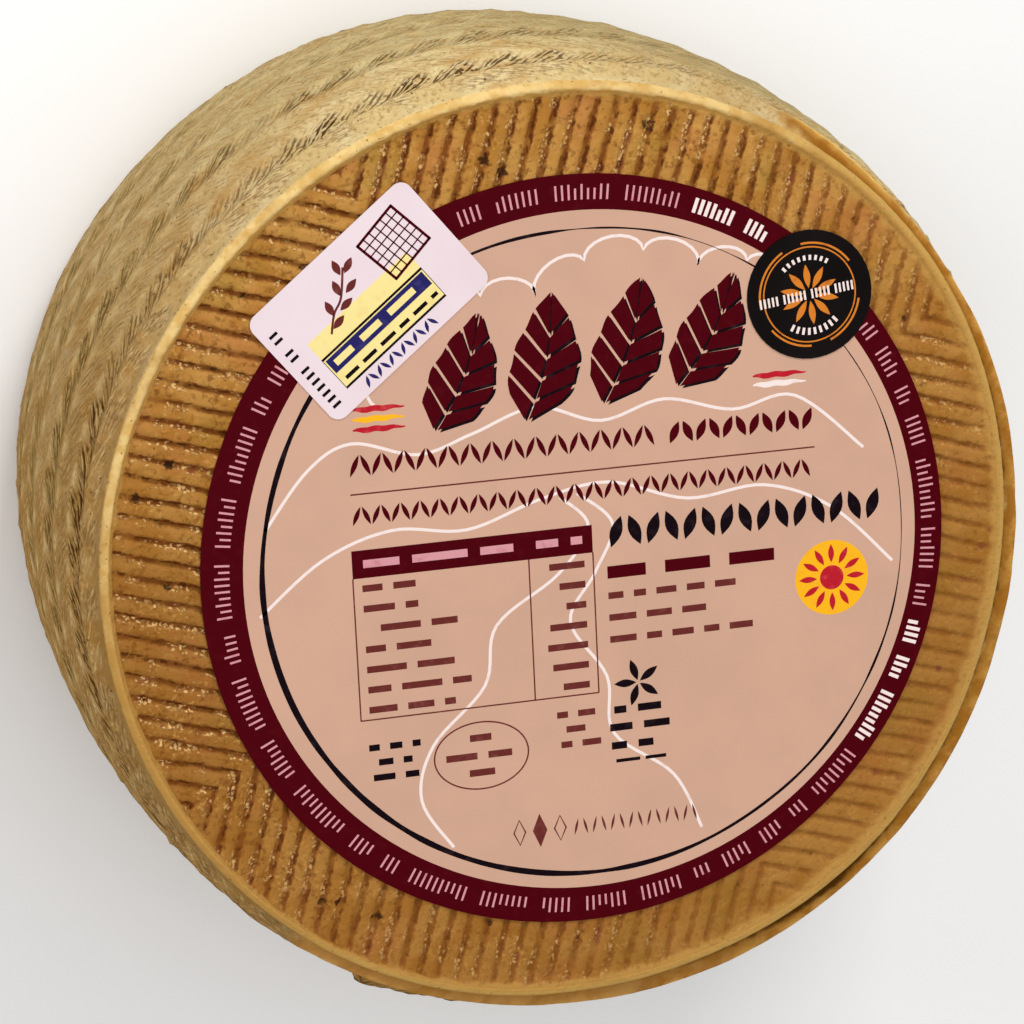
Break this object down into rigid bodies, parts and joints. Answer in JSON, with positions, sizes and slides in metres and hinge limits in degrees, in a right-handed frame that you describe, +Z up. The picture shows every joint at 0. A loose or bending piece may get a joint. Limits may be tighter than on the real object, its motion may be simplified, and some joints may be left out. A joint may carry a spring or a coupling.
{
  "type": "manchego cheese wheel",
  "caption": "Whole wheel of hard sheep's milk cheese, barrel-sided with a plaited side imprint and grooved faces, with a round label, a small card and a round sticker on top.",
  "frame": {"origin": "middle of the underside, at the centre of the wheel's bounding box", "axes": "+Z up out of the labelled face, +X along the label's reading direction, +Y towards the top of the label"},
  "size_m": [0.1992, 0.1984, 0.0986],
  "materials": {
    "rind": "waxy dull cheese rind, ochre to brown, with pale and dark mould in the grooves",
    "label_paper": "smooth printed paper, pink field in a maroon ring",
    "sticker_paper": "smooth black printed paper with an orange ring",
    "card_paper": "smooth white printed card"
  },
  "bodies": {
    "root": {"wheel": "rind", "round_label": "label_paper", "round_sticker": "sticker_paper", "corner_card": "card_paper"}
  },
  "joints": []
}
